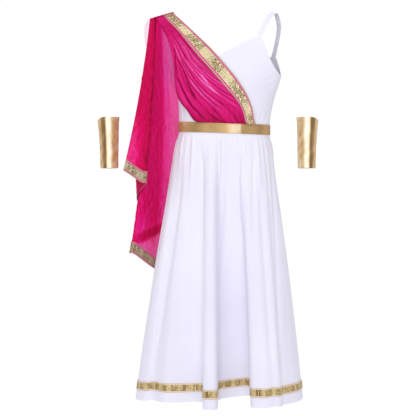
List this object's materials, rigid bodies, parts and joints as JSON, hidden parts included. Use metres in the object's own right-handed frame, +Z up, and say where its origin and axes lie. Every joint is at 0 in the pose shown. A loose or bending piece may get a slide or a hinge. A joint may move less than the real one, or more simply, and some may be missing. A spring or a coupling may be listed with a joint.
{
  "type": "greek princess costume",
  "caption": "Child's one-shoulder dress-up gown with a flared skirt, a gathered shoulder drape and cape, a waistband, trimmed hems and loose cuffs.",
  "frame": {"origin": "on the centre line, level with the tops of the shoulders, where the wearer holds the dress up", "axes": "+Z up, the front of the dress faces -Y, +X is to the right of someone facing its front"},
  "size_m": [0.574, 0.3578, 1.0048],
  "materials": {
    "dress": "white woven polyester",
    "chiffon": "sheer magenta chiffon",
    "brocade": "gold woven trim",
    "foil": "gold foil-coated fabric"
  },
  "bodies": {
    "root": {"bodice_front": "dress", "bodice_back": "dress", "shoulder_strap": "dress", "waistband": "foil", "skirt_front": "dress", "skirt_back": "dress", "hem_trim_front": "brocade", "hem_trim_back": "brocade", "drape_front": "chiffon", "drape_trim": "brocade", "shoulder_band": "chiffon", "cape": "chiffon", "cape_trim": "brocade", "cuff_left": "foil", "cuff_right": "foil"}
  },
  "joints": []
}
